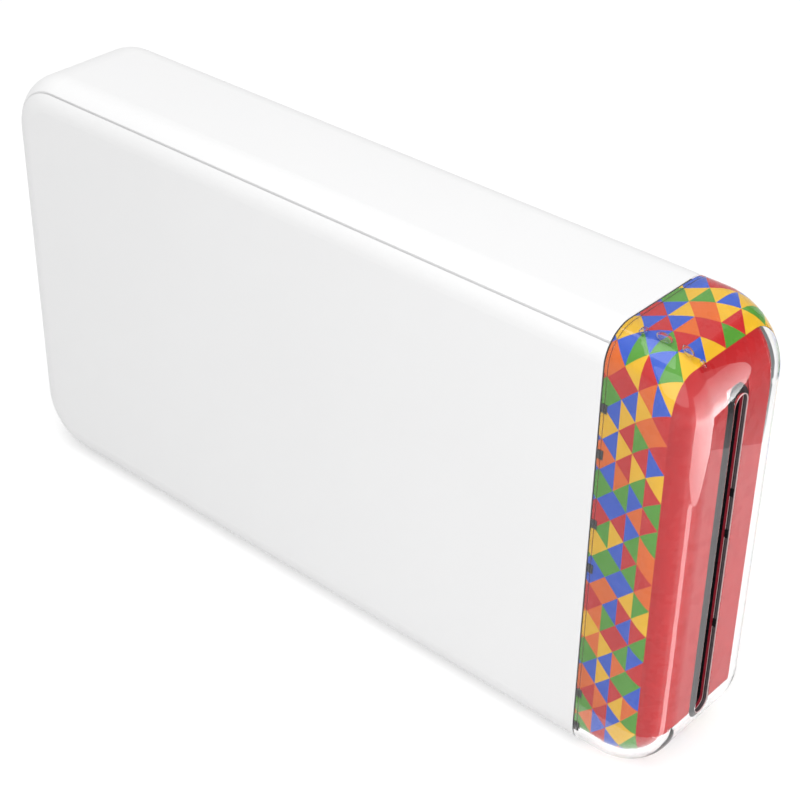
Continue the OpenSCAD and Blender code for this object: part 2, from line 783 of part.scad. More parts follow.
module drive_motor() {
    color(c_steel) stand() {
        y1 = bay_half;
        difference() {
            union() {
                along_y(y1 - motor_l, y1) translate(motor_c) motor_section(0);
                rod_y(motor_c, motor_bell, y1 - motor_l - 1, y1 - motor_l + e);
                rod_y(motor_c, motor_bell, y1 - e, y1 + motor_boss_h);
                for (side = [-1, 1])
                    rod_y([motor_c[0] + side * 3.4, motor_c[1]], 0.5, y1 - motor_l - 1.4, y1 - motor_l + e);
            }
            rod_y(motor_c, motor_shaft_r + run_gap, y1 - 3, y1 + past);
            along_y(y1 - motor_l + 3, y1 - motor_l + 3.4) translate(motor_c) difference() {
                motor_section(-past);
                motor_section(0.25);
            }
        }
        block([motor_c[0] - motor_r - 0.2, motor_c[0] + motor_r + 0.2],
            [y1 - motor_l + 5, y1 - motor_l + 5 + saddle_w],
            [floor_z, motor_c[1] - motor_half_h + 0.3]);
    }
}

// Flat-sided round section of the drive motor's can
module motor_section(inset) {
    intersection() {
        circle(motor_r - inset, $fn = 64);
        square([2 * motor_r + 2, 2 * (motor_half_h - inset)], center = true);
    }
}

lift_motor_l = 17;
lift_bell = 1.4;

module lift_motor() {
    color(c_steel) stand() {
        y0 = -bay_half;
        difference() {
            union() {
                rod_y(lift_c, lift_motor_r, y0, y0 + lift_motor_l);
                rod_y(lift_c, lift_bell, y0 - motor_boss_h, y0 + e);
                rod_y(lift_c, lift_bell, y0 + lift_motor_l - e, y0 + lift_motor_l + 1);
            }
            rod_y(lift_c, lift_shaft_r + run_gap, y0 - past, y0 + 3);
            along_y(y0 + lift_motor_l - 3.4, y0 + lift_motor_l - 3) translate(lift_c) difference() {
                circle(lift_motor_r + past, $fn = 48);
                circle(lift_motor_r - 0.25, $fn = 48);
            }
        }
        block([lift_c[0] - 3, lift_c[0] + 3], [y0 + 3, y0 + 3 + saddle_w],
            [floor_z, lift_c[1] - lift_motor_r + 1]);
    }
}

axle_cap_r = 1.4;

module gear_axles() {
    color(c_steel) stand() for (c = [gear1_c, gear2_c, idler_c]) {
        tip = c == idler_c ? layer_a + gear_w + end_play : axle_end;
        rod_y(c, axle_r, bay_half, tip + e);
        rod_y(c, axle_cap_r, tip, tip + cap_t);
    }
}

module roller_bushes() {
    color("goldenrod") stand() for (c = [[platen_x, platen_z], feed_c], side = [-1, 1]) {
        lo = side > 0 ? bay_half : -rail_y;
        hi = side > 0 ? rail_y : -bay_half;
        flange = side > 0 ? hi : lo - bush_flange;
        hub(c, bush_r, journal_r + run_gap, lo, hi);
        hub(c, bush_r + bush_rim, journal_r + run_gap, flange, flange + bush_flange);
    }
}

module platen_roller() {
    color(c_black) stand() hub([platen_x, platen_z], platen_r, collar_r, -roller_l / 2, roller_l / 2);
}

module platen_shaft() {
    color(c_steel) stand() {
        rod_y([platen_x, platen_z], collar_r, -roller_l / 2 - collar_l, roller_l / 2 + collar_l);
        rod_y([platen_x, platen_z], journal_r, -rail_y - journal_past, rail_y + journal_past);
    }
}

module feed_roller() {
    color(c_steel) stand() {
        rod_y(feed_c, feed_r, -roller_l / 2, roller_l / 2);
        rod_y(feed_c, collar_r, -roller_l / 2 - collar_l, roller_l / 2 + collar_l);
        rod_y(feed_c, journal_r, -rail_y - journal_past, layer_a + gear_w + end_play);
    }
}

hub_r = 1.6;
hub_gap = 0.1;
hub_start = rail_y + bush_flange + hub_gap;
web_dish = 0.4;
web_rim = 0.7;

// Shallow dish turned into a gear's face between radii r0 and r1, from y0 to y1
module face_dish(c, r0, r1, y0, y1) {
    along_y(y0, y1) translate(c) difference() {
        circle(r1, $fn = 48);
        circle(r0, $fn = 48);
    }
}

function root_r(z) = tooth_radii(z)[0];

module feed_gear() {
    color(c_gear) stand() {
        difference() {
            gear_ring(feed_c, feed_z, feed_turn, journal_r, layer_a, layer_a + gear_w);
            face_dish(feed_c, hub_r, root_r(feed_z) - web_rim,
                layer_a + gear_w - web_dish, layer_a + gear_w + past);
        }
        hub(feed_c, hub_r + 0.3, journal_r, hub_start, layer_a + e);
    }
}

module reduction_gear_1() {
    color(c_gear) stand() {
        difference() {
            gear_ring(gear1_c, gear1_z[0], gear1_turn, axle_r + run_gap, layer_a, layer_a + gear_w);
            face_dish(gear1_c, hub_r + 0.4, root_r(gear1_z[0]) - web_rim,
                layer_a - past, layer_a + web_dish);
        }
        gear_ring(gear1_c, gear1_z[1], gear1_turn, axle_r + run_gap,
            layer_a + gear_w - e, layer_b + gear_w);
        hub(gear1_c, hub_r, axle_r + run_gap, hub_start, layer_a + e);
    }
}

module reduction_gear_2() {
    color(c_gear) stand() {
        gear_ring(gear2_c, gear2_z[1], gear2_turn, axle_r + run_gap, layer_a, layer_b + e);
        difference() {
            gear_ring(gear2_c, gear2_z[0], gear2_turn, axle_r + run_gap, layer_b, layer_b + gear_w);
            face_dish(gear2_c, hub_r + 0.4, root_r(gear2_z[0]) - web_rim,
                layer_b + gear_w - web_dish, layer_b + gear_w + past);
            for (a = [0 : 60 : 300])
                rod_y(polar(gear2_c, (pitch_r(gear2_z[1]) + root_r(gear2_z[0])) / 2, a + gear2_turn), 0.9,
                    layer_b - past, layer_b + gear_w + past);
        }
        hub(gear2_c, hub_r, axle_r + run_gap, hub_start, layer_a + e);
    }
}

pinion_reach = 2.5;

module motor_pinion() {
    color(c_gear) stand() {
        rod_y(motor_c, motor_shaft_r, bay_half - pinion_reach, layer_a + gear_w + 0.3);
        gear_ring(motor_c, pinion_z, motor_turn, motor_shaft_r - e, layer_a, layer_a + gear_w);
    }
}

module takeup_idler() {
    color(c_gear) stand() {
        difference() {
            gear_ring(idler_c, idler_z, idler_turn, axle_r + run_gap, layer_a, layer_a + gear_w);
            face_dish(idler_c, hub_r + 0.2, root_r(idler_z) - web_rim,
                layer_a + gear_w - web_dish, layer_a + gear_w + past);
            for (a = [0 : 90 : 270])
                rod_y(polar(idler_c, (hub_r + root_r(idler_z)) / 2, a + idler_turn), 0.6,
                    layer_a - past, layer_a + gear_w + past);
        }
        hub(idler_c, hub_r, axle_r + run_gap, hub_start, layer_a + e);
    }
}

drive_dog_r = 2.2;
dog_bore = 0.5;

module takeup_gear() {
    color(c_gear) stand() {
        difference() {
            gear_ring(takeup_c, takeup_z, takeup_turn, dog_bore, layer_a, layer_a + gear_w);
            face_dish(takeup_c, hub_r, root_r(takeup_z) - web_rim,
                layer_a + gear_w - web_dish, layer_a + gear_w + past);
        }
        rod_y(takeup_c, spindle_r, bay_half - end_play, layer_a + e);
        along_y(bay_half - 1, bay_half - end_play + e) translate(takeup_c) circle(drive_dog_r, $fn = 6);
    }
}

module lift_pinion() {
    color(c_gear) stand() {
        rod_y(lift_c, lift_shaft_r, -layer_a - gear_w - 0.2, -bay_half + pinion_reach);
        gear_ring(lift_c, pinion_z, lift_turn, lift_shaft_r - e, -layer_a - gear_w, -layer_a);
    }
}

// ---------- head arm ----------

arm_gap = 1.6;
arm_half = bay_half - arm_gap;
arm_x0 = pivot_x + journal_r + 0.3;
arm_lip = 2.4;
pinch_pin_r = 0.5;
pinch_eye_r = 1.1;
arm_hole = [12, 10];
arm_hole_x = pivot_x + 10;
arm_hole_step = 16;

module head_arm() {
    color(c_steel) stand() {
        translate([0, 0, arm_low]) linear_extrude(arm_t) difference() {
            translate([arm_x0, -arm_half])
                square([pinch_x - pinch_r - 0.4 - arm_x0, 2 * arm_half]);
            for (k = [-1 : 1]) translate([arm_hole_x, k * arm_hole_step])
                round_rect(arm_hole[0], arm_hole[1], 2);
        }
        for (side = [-1, 1]) arm_flange(side);
    }
}

module arm_flange(side) {
    y0 = side > 0 ? arm_half - arm_t : -arm_half;
    along_y(y0, y0 + arm_t) difference() {
        union() {
            translate(pivot_c) circle(arm_top - pivot_z, $fn = 48);
            translate([pinch_x, pinch_z]) circle(pinch_eye_r, $fn = 48);
            translate([pivot_x, arm_top - arm_lip]) square([pinch_x - pivot_x, arm_lip]);
        }
        translate(pivot_c) circle(journal_r, $fn = 48);
        translate([pinch_x, pinch_z]) circle(pinch_pin_r + run_gap, $fn = 48);
    }
}

module head_shaft() {
    color(c_steel) stand() rod_y(pivot_c, journal_r, -layer_a - gear_w - end_play, rail_y + 0.3);
}

sector_hub_r = 2;

module arm_sector() {
    color(c_gear) stand() along_y(-layer_a - gear_w, -layer_a) translate(pivot_c) difference() {
        union() {
            circle(sector_hub_r, $fn = 48);
            teeth_fan();
        }
        circle(journal_r, $fn = 48);
    }
}

// The sector's teeth for the arm's swing, with its web down from the hub
module teeth_fan() {
    radii = tooth_radii(sector_z);
    step = 360 / sector_z;
    last = ceil(head_swing / step);
    span = [-90 - 1.5 * step, -90 + (last + 0.5) * step];
    polygon(concat([polar([0, 0], 1.2, span[0])],
        [for (k = [-1 : last]) let (a = -90 + step * k) each concat(
            [for (i = [0 : 3]) polar([0, 0], radii[i], a - tooth_half(sector_z, radii[i]))],
            [for (i = [3 : -1 : 0]) polar([0, 0], radii[i], a + tooth_half(sector_z, radii[i]))])],
        [polar([0, 0], 1.2, span[1])]));
}

head_t = 0.9;
sink_l = 13;
sink_front = 2;
fin_step = 2.3;
fin_slot = 1.2;
fin_depth = 0.7;

module heat_sink() {
    x0 = heater_x + sink_front - sink_l;
    color(c_steel) stand() difference() {
        block([x0, x0 + sink_l], [-roller_l / 2 + 0.5, roller_l / 2 - 0.5],
            [head_low + head_t, arm_low]);
        for (k = [0 : floor((sink_l - 2) / fin_step)])
            block([x0 + 1.4 + fin_step * k, x0 + 1.4 + fin_step * k + fin_slot],
                [-roller_l / 2, roller_l / 2], [arm_low - fin_depth, arm_low + past]);
    }
}

head_l = 10.2;
head_front = 1.2;

module thermal_head() {
    color("tan") stand() {
        block([heater_x + head_front - head_l, heater_x + head_front],
            [-roller_l / 2 + 1, roller_l / 2 - 1], [head_low + head_t / 6, head_low + head_t]);
        along_y(-roller_l / 2 + 1.5, roller_l / 2 - 1.5)
            translate([heater_x, head_low + head_t / 2]) circle(head_t / 2, $fn = 32);
    }
}

module pinch_roller() {
    color(c_black) stand() {
        rod_y([pinch_x, pinch_z], pinch_r, -roller_l / 2, roller_l / 2);
        rod_y([pinch_x, pinch_z], pinch_pin_r, -arm_half - 0.2, arm_half + 0.2);
    }
}

// ---------- cartridge latch ----------

latch_flange_t = 1;
latch_flange = 1;
latch_gap = 0.2;

module cartridge_latch() {
    color(c_white) stand() {
        z = [latch_z - latch_h / 2, latch_z + latch_h / 2];
        translate([0, 0, z[0]]) linear_extrude(latch_h) polygon([
            [latch_x - latch_l / 2, -rail_y - latch_gap - 0.1],
            [latch_x + latch_l / 2, -rail_y - latch_gap - 0.1],
            [latch_x + latch_l / 2, -bay_half], [latch_x + 1, -bay_half + 1],
            [latch_x - 1, -bay_half + 1], [latch_x - latch_l / 2, -bay_half]]);
        block([latch_x - latch_l / 2 - latch_flange, latch_x + latch_l / 2 + latch_flange],
            [-rail_y - latch_gap - latch_flange_t, -rail_y - latch_gap],
            [z[0] - latch_flange, z[1] + latch_flange]);
    }
}

spring_t = 0.4;
spring_half = [7, 4.6, 2];

module latch_spring() {
    color(c_steel) stand() {
        y0 = -rail_y - latch_gap - latch_flange_t - latch_travel - 0.1;
        translate([latch_x, 0, latch_z - latch_h * 0.4]) linear_extrude(latch_h * 0.8) polygon([
            [-spring_half[0], -side_y], [-spring_half[0], -side_y + spring_t],
            [-spring_half[1], -side_y + spring_t], [-spring_half[2], y0],
            [spring_half[2], y0], [spring_half[1], -side_y + spring_t],
            [spring_half[0], -side_y + spring_t], [spring_half[0], -side_y],
            [spring_half[1] - 0.2, -side_y], [spring_half[2] - 0.2, y0 - spring_t],
            [0.2 - spring_half[2], y0 - spring_t], [0.2 - spring_half[1], -side_y]]);
    }
}

// ---------- end door ----------

liner_out = shell_wall + layer_gap;
liner_in = liner_out + liner_wall;
frame_out = liner_in + layer_gap;
frame_in = frame_out + frame_wall;
ear_r = 1.5;
ear_w = 1.6;
ear_gap = 0.3;
pin_reach = hinge_arm_w / 2 + ear_gap + ear_w;
frame_lip = 0.5;
hook_neck = 2;

// Removes the corner beyond radius r round the hinge axis
module knuckle_cut(r) {
    along_y(-half_w - past, half_w + past) difference() {
        translate([hinge_x - 2 * hinge_inset, hinge_z - 2 * hinge_inset])
            square(2 * hinge_inset);
        translate([hinge_x, hinge_z]) circle(r, $fn = 64);
    }
}

// Leaves the hinge arms their way through the door's back edge
module arm_slots(gap) {
    for (side = [-1, 1]) {
        y0 = side * hinge_y - hinge_arm_w / 2 - gap;
        block([door_x - past, hinge_x + knuckle_r + 0.3], [y0, y0 + hinge_arm_w + 2 * gap],
            [-half_t - past, hinge_z + knuckle_r + 0.4]);
    }
}

// A shell of the door between two insets
module door_layer(outer, inner) {
    difference() {
        slab(outer);
        slab(inner);
        block([-end_x - past, door_x], [-half_w - past, half_w + past], [-half_t - past, half_t + past]);
    }
}

module slot_hole(l, w) {
    along_x(end_x - frame_in - past, end_x + past) translate([0, slot_z]) stadium(l, w);
}

module door_shell() {
    color([0.9, 0.95, 1, 0.3]) stand() difference() {
        union() {
            door_layer(0, shell_wall);
            intersection() {
                rod_y([hinge_x, hinge_z], hinge_inset, -spine_y, spine_y);
                block([door_x, hinge_x], [-spine_y, spine_y], [-half_t, hinge_z]);
            }
        }
        knuckle_cut(hinge_inset - door_gap / 2);
        for (side = [-1, 1]) rod_y([hinge_x, hinge_z], ear_r + 0.15,
            side * hinge_y - pin_reach - ear_gap, side * hinge_y + pin_reach + ear_gap);
        arm_slots(ear_gap);
        slot_hole(slot_l, slot_w);
    }
}

module door_liner() {
    color("crimson") stand() difference() {
        door_layer(liner_out, liner_in);
        block([door_x - past, hinge_x + ear_r + 1], [-half_w, half_w], [-half_t, hinge_z + ear_r + 1.4]);
        slot_hole(slot_l + 2 * bezel_rim, slot_w + 2 * bezel_rim);
    }
}

module slot_bezel() {
    color(c_black) stand() {
        rim_x = end_x - shell_wall;
        difference() {
            intersection() {
                along_x(rim_x - liner_wall - 2 * layer_gap, rim_x) translate([0, slot_z])
                    stadium(slot_l + 2 * bezel_rim - 0.1, slot_w + 2 * bezel_rim - 0.1);
                slab(shell_wall);
            }
            slot_hole(slot_l, slot_w);
        }
    }
}

module door_frame() {
    color(c_dark) stand() {
        difference() {
            door_layer(frame_out, frame_in);
            block([door_x - past, hinge_x + ear_r + 1], [-half_w, half_w],
                [-half_t, hinge_z + ear_r + 1.4]);
            slot_hole(slot_l - 2 * frame_lip, slot_w - 1.2 * frame_lip);
        }
        for (side = [-1, 1]) {
            hinge_ears(side);
            latch_hook(side);
        }
    }
}

// Two ears that hold one hinge pin, on a web up to the frame
module hinge_ears(side) {
    web_z = -half_t + frame_out + 0.1;
    for (k = [-1, 1]) {
        y0 = side * hinge_y + k * (hinge_arm_w / 2 + ear_gap + ear_w / 2) - ear_w / 2;
        along_y(y0, y0 + ear_w) difference() {
            union() {
                translate([hinge_x, hinge_z]) circle(ear_r, $fn = 48);
                polygon([[hinge_x, hinge_z - ear_r + 0.2], [hinge_x + ear_r + 0.8, web_z],
                    [hinge_x + 6, web_z], [hinge_x + 6, hinge_z + 2], [hinge_x, hinge_z + ear_r]]);
            }
            translate([hinge_x, hinge_z]) circle(hinge_pin_r, $fn = 48);
        }
    }
}

module latch_hook(side) {
    y0 = side > 0 ? hook_y : -hook_y - hook_w;
    tip = mouth_x - rail_t - 1;
    wall_y = half_w - frame_in;
    along_y(y0, y0 + hook_w) polygon([[tip, hook_z[0] + 0.6], [tip + 0.6, hook_z[0]],
        [door_x + 1 + hook_neck, hook_z[0]], [door_x + 1 + hook_neck, hook_z[1]], [tip + 0.6, hook_z[1]],
        [tip, hook_z[1] - 0.6]]);
    y1 = side > 0 ? hook_y : -wall_y - e;
    block([door_x + 1, door_x + 1 + hook_neck], [y1, y1 + wall_y - hook_y + e], hook_z);
}

module hinge_pins() {
    color(c_steel) stand() for (side = [-1, 1]) {
        rod_y([hinge_x, hinge_z], hinge_pin_r, side * hinge_y - pin_reach, side * hinge_y + pin_reach);
    }
}

front_cover();
rear_housing();
chassis();
bay_top_plate();
chassis_screws();
main_board();
board_components();
board_screws();
charging_port();
power_switch();
status_lightpipe();
battery();
head_cable();
drive_motor();
lift_motor();
gear_axles();
roller_bushes();
ribbon_sensor();
latch_spring();
door_shell();
door_liner();
slot_bezel();
door_frame();
hinge_pins();
power_button();
head_arm();
head_shaft();
arm_sector();
heat_sink();
thermal_head();
pinch_roller();
lift_pinion();
platen_roller();
platen_shaft();
feed_roller();
feed_gear();
reduction_gear_1();
reduction_gear_2();
motor_pinion();
takeup_idler();
takeup_gear();
cartridge_latch();
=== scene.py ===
"""Compact photo printer with a hinged, clear end door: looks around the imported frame."""

import json
import math
import random

import bmesh
import bpy
from mathutils import Matrix, Vector


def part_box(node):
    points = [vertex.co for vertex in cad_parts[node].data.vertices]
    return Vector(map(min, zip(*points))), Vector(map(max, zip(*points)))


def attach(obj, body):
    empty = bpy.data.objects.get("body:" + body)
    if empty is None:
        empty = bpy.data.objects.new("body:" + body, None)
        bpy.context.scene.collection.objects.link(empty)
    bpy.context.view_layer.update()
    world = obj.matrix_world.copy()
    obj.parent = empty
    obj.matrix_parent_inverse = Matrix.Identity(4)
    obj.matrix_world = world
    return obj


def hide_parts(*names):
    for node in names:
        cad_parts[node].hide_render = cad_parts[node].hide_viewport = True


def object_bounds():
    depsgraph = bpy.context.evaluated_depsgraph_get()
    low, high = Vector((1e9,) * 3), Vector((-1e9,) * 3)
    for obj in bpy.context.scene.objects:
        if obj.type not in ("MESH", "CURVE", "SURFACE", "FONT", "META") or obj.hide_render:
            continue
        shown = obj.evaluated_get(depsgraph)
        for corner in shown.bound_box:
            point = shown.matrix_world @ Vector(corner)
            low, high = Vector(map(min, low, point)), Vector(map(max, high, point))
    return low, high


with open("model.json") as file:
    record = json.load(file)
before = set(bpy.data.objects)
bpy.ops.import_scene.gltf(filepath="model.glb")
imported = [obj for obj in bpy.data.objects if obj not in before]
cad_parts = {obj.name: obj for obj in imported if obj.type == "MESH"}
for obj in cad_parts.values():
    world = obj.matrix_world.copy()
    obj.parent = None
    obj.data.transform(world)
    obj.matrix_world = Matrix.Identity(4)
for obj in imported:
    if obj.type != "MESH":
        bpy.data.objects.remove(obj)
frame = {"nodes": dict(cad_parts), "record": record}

CAD_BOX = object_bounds()
MM = 0.001

# ---------- sizes, from the frame ----------

BODY_LOW, BODY_HIGH = CAD_BOX
END_X = BODY_HIGH.x
HALF_W = (BODY_HIGH.z - BODY_LOW.z) / 2
HALF_T = (BODY_HIGH.y - BODY_LOW.y) / 2
DOOR_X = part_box("door_liner")[0].x
LINER_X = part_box("door_liner")[1].x
LINER_INSET = END_X - LINER_X
CORNER_R = 11.5 * MM  # corners seen from the front
EDGE_R = 5.6 * MM  # edge that runs all round

# ---------- camera ----------

CAM_TARGET = Vector((-15.62, 28.40, 14.67)) * MM
CAM_AZIMUTH = 41.18
CAM_ELEVATION = 33.48
CAM_ROLL = 0.90
CAM_DISTANCE = 367.9 * MM
CAM_LENS = 84.72


def direction(azimuth, elevation):
    """Unit vector from the object towards a place at that azimuth and elevation, in degrees."""
    a, e = math.radians(azimuth), math.radians(elevation)
    return Vector((math.sin(a) * math.cos(e), -math.cos(a) * math.cos(e), math.sin(e)))


def add_camera():
    data = bpy.data.cameras.new("camera")
    data.lens = CAM_LENS
    data.sensor_width = 36
    data.clip_start = 0.01
    camera = bpy.data.objects.new("camera", data)
    bpy.context.scene.collection.objects.link(camera)
    back = direction(CAM_AZIMUTH, CAM_ELEVATION)
    aim = (-back).to_track_quat("-Z", "Y").to_matrix().to_4x4()
    roll = Matrix.Rotation(math.radians(CAM_ROLL), 4, "Z")
    camera.matrix_world = Matrix.Translation(CAM_TARGET + back * CAM_DISTANCE) @ aim @ roll
    bpy.context.scene.camera = camera


# ---------- materials ----------


class Look:
    """A Principled material whose detail comes from nodes in object space, in millimetres."""

    def __init__(self, name, **sockets):
        self.material = bpy.data.materials.new(name)
        self.material.use_nodes = True
        self.nodes = self.material.node_tree.nodes
        self.links = self.material.node_tree.links
        self.shader = self.nodes["Principled BSDF"]
        for socket, value in sockets.items():
            self.shader.inputs[socket.replace("_", " ")].default_value = value
        coords = self.nodes.new("ShaderNodeTexCoord")
        self.place = self.nodes.new("ShaderNodeMapping")
        self.place.inputs["Scale"].default_value = (1 / MM, 1 / MM, 1 / MM)
        self.links.new(coords.outputs["Object"], self.place.inputs["Vector"])
        self.height = None

    def stretched(self, scale):
        """The place in millimetres, scaled by a vector, for brushed and drawn finishes."""
        node = self.nodes.new("ShaderNodeMapping")
        node.inputs["Scale"].default_value = scale
        self.links.new(self.place.outputs["Vector"], node.inputs["Vector"])
        return node.outputs["Vector"]

    def noise(self, size, detail=2.0, vector=None):
        """Noise whose features are about size millimetres wide."""
        node = self.nodes.new("ShaderNodeTexNoise")
        node.inputs["Scale"].default_value = 1 / size
        node.inputs["Detail"].default_value = detail
        self.links.new(vector or self.place.outputs["Vector"], node.inputs["Vector"])
        return node.outputs["Fac"]

    def cells(self, size, feature="F1", output="Distance"):
        """Cells about size millimetres wide."""
        node = self.nodes.new("ShaderNodeTexVoronoi")
        node.feature = feature
        node.inputs["Scale"].default_value = 1 / size
        self.links.new(self.place.outputs["Vector"], node.inputs["Vector"])
        return node.outputs[output]

    def between(self, fac, low, high, start=0.3, stop=0.7):
        """Maps a factor from start..stop to the numbers low..high."""
        node = self.nodes.new("ShaderNodeMapRange")
        for socket, value in zip(("From Min", "From Max", "To Min", "To Max"), (start, stop, low, high)):
            node.inputs[socket].default_value = value
        self.links.new(fac, node.inputs["Value"])
        return node.outputs["Result"]

    def mix(self, fac, low, high):
        """Blends two colours or colour outputs by a factor."""
        node = self.nodes.new("ShaderNodeMix")
        node.data_type = "RGBA"
        self.links.new(fac, node.inputs["Factor"])
        for socket, value in (("A", low), ("B", high)):
            target = next(i for i in node.inputs if i.name == socket and i.type == "RGBA")
            if isinstance(value, tuple):
                target.default_value = (*value, 1)
            else:
                self.links.new(value, target)
        return next(o for o in node.outputs if o.type == "RGBA")

    def colour(self, output):
        self.links.new(output, self.shader.inputs["Base Color"])

    def rough(self, output):
        self.links.new(output, self.shader.inputs["Roughness"])

    def bump(self, output, depth, strength=0.5):
        """Adds relief of about depth millimetres."""
        node = self.nodes.new("ShaderNodeBump")
        node.inputs["Strength"].default_value = strength
        node.inputs["Distance"].default_value = depth * MM
        self.links.new(output, node.inputs["Height"])
        if self.height:
            self.links.new(self.height, node.inputs["Normal"])
        self.height = node.outputs["Normal"]
        self.links.new(self.height, self.shader.inputs["Normal"])


def shade(colour, factor):
    return tuple(min(1.0, c * factor) for c in colour)


def moulded(name, colour, rough, grain, depth, vary, **sockets):
    """Moulded plastic: faint cloudiness, an eroded grain and roughness that wanders."""
    look = Look(name, **sockets)
    look.colour(look.mix(look.noise(26, 3), shade(colour, 1 - vary), shade(colour, 1 + vary)))
    look.rough(look.between(look.noise(4, 4), rough - 0.06, rough + 0.06))
    look.bump(look.noise(grain, 2), depth)
    return look.material


def white_housing():
    look = Look("white_housing", IOR=1.5)
    white = (0.872, 0.872, 0.874)
    look.colour(look.mix(look.noise(34, 3), shade(white, 0.985), shade(white, 1.012)))
    look.rough(look.between(look.noise(3, 4), 0.38, 0.5))
    look.bump(look.noise(0.32, 2), 0.012, 0.35)
    look.bump(look.noise(18, 1), 0.05, 0.12)
    return look.material


SHELL_IOR = 1.49


def clear_shell():
    look = Look("clear_shell", IOR=SHELL_IOR)
    look.shader.inputs["Transmission Weight"].default_value = 1.0
    look.shader.inputs["Base Color"].default_value = (0.985, 0.99, 0.995, 1)
    look.rough(look.between(look.noise(9, 3), 0.0, 0.035))
    look.bump(look.noise(14, 1), 0.06, 0.12)
    return look.material


def bubble_glass():
    """Air inside the clear shell, so its index is the inverse of the shell's."""
    look = Look("bubble_glass", IOR=1 / SHELL_IOR)
    look.shader.inputs["Transmission Weight"].default_value = 1.0
    look.shader.inputs["Base Color"].default_value = (1, 1, 1, 1)
    look.rough(look.between(look.noise(3, 2), 0.0, 0.02))
    look.bump(look.noise(1.2, 2), 0.02, 0.2)
    return look.material


def gloss(name, colour, vary=0.08):
    """Glossy printed film or liner, with a faint ripple."""
    look = Look(name, IOR=1.5, Specular_IOR_Level=0.2)
    look.colour(look.mix(look.noise(7, 3), shade(colour, 1 - vary), shade(colour, 1 + vary)))
    look.rough(look.between(look.noise(2.5, 3), 0.22, 0.34))
    look.bump(look.noise(11, 1), 0.05, 0.15)
    return look.material


def drawn_steel(name="steel", colour=(0.60, 0.61, 0.63), stretch=(0.3, 6, 6)):
    """Metal drawn or turned, with fine lines one way."""
    look = Look(name, Metallic=1.0)
    lines = look.noise(0.5, 4, look.stretched(stretch))
    look.colour(look.mix(lines, shade(colour, 0.86), shade(colour, 1.1)))
    look.rough(look.between(lines, 0.18, 0.36))
    look.bump(lines, 0.01, 0.3)
    return look.material


def plated_sheet():
    look = Look("plated_sheet", Metallic=1.0)
    spangle = look.cells(2.6, output="Color")
    base = look.mix(look.noise(1.1, 3), (0.55, 0.56, 0.58), (0.72, 0.73, 0.74))
    look.colour(look.mix(look.between(spangle, 0.0, 0.35, 0, 1), base, (0.78, 0.79, 0.8)))
    look.rough(look.between(spangle, 0.26, 0.44, 0, 1))
    look.bump(look.noise(0.6, 2), 0.01, 0.2)
    return look.material


def rubber():
    look = Look("rubber", IOR=1.45)
    rings = look.noise(0.35, 3, look.stretched((1, 1, 0.06)))
    look.colour(look.mix(rings, (0.018, 0.018, 0.019), (0.05, 0.05, 0.052)))
    look.rough(look.between(rings, 0.6, 0.82))
    look.bump(rings, 0.03, 0.5)
    return look.material


def ceramic():
    look = Look("ceramic", IOR=1.6)
    look.colour(look.mix(look.noise(1.6, 4), (0.82, 0.78, 0.68), (0.9, 0.88, 0.82)))
    look.rough(look.between(look.noise(0.8, 3), 0.18, 0.3))
    look.bump(look.noise(0.4, 2), 0.006, 0.3)
    return look.material


def board_green():
    """Solder mask over tracks that branch like the walls of cells."""
    look = Look("board_green", IOR=1.5)
    tracks = look.cells(1.3, "DISTANCE_TO_EDGE")
    between_tracks = look.between(tracks, 0, 1, 0.04, 0.12)
    look.colour(look.mix(between_tracks, (0.03, 0.2, 0.09), (0.01, 0.085, 0.045)))
    look.rough(look.between(look.noise(3, 2), 0.24, 0.36))
    look.bump(tracks, 0.03, 0.3)
    return look.material


def battery_foil():
    look = Look("battery_foil", Metallic=0.85)
    creases = look.noise(5, 5)
    look.colour(look.mix(creases, (0.42, 0.45, 0.5), (0.62, 0.65, 0.7)))
    look.rough(look.between(creases, 0.3, 0.5))
    look.bump(creases, 0.25, 0.5)
    return look.material


def cable_film():
    """Flat cable: conductors side by side under a pale film."""
    look = Look("cable_film", IOR=1.5)
    wave = look.nodes.new("ShaderNodeTexWave")
    wave.bands_direction = "Z"
    wave.inputs["Scale"].default_value = 0.32
    look.links.new(look.place.outputs["Vector"], wave.inputs["Vector"])
    conductors = look.between(wave.outputs["Fac"], 0, 1, 0.4, 0.6)
    look.colour(look.mix(conductors, (0.86, 0.84, 0.76), (0.56, 0.55, 0.5)))
    look.rough(look.between(look.noise(3, 2), 0.3, 0.42))
    look.bump(wave.outputs["Fac"], 0.03, 0.4)
    return look.material


def light_diffuser():
    look = Look("light_diffuser", IOR=1.49, Subsurface_Weight=0.3)
    look.shader.inputs["Subsurface Radius"].default_value = (2 * MM, 2 * MM, 2 * MM)
    look.colour(look.mix(look.noise(1.5, 2), (0.80, 0.84, 0.87), (0.9, 0.93, 0.95)))
    look.rough(look.between(look.noise(0.9, 3), 0.35, 0.5))
    look.bump(look.noise(0.3, 2), 0.01, 0.4)
    return look.material


LINER_RED = (0.385, 0.009, 0.012)

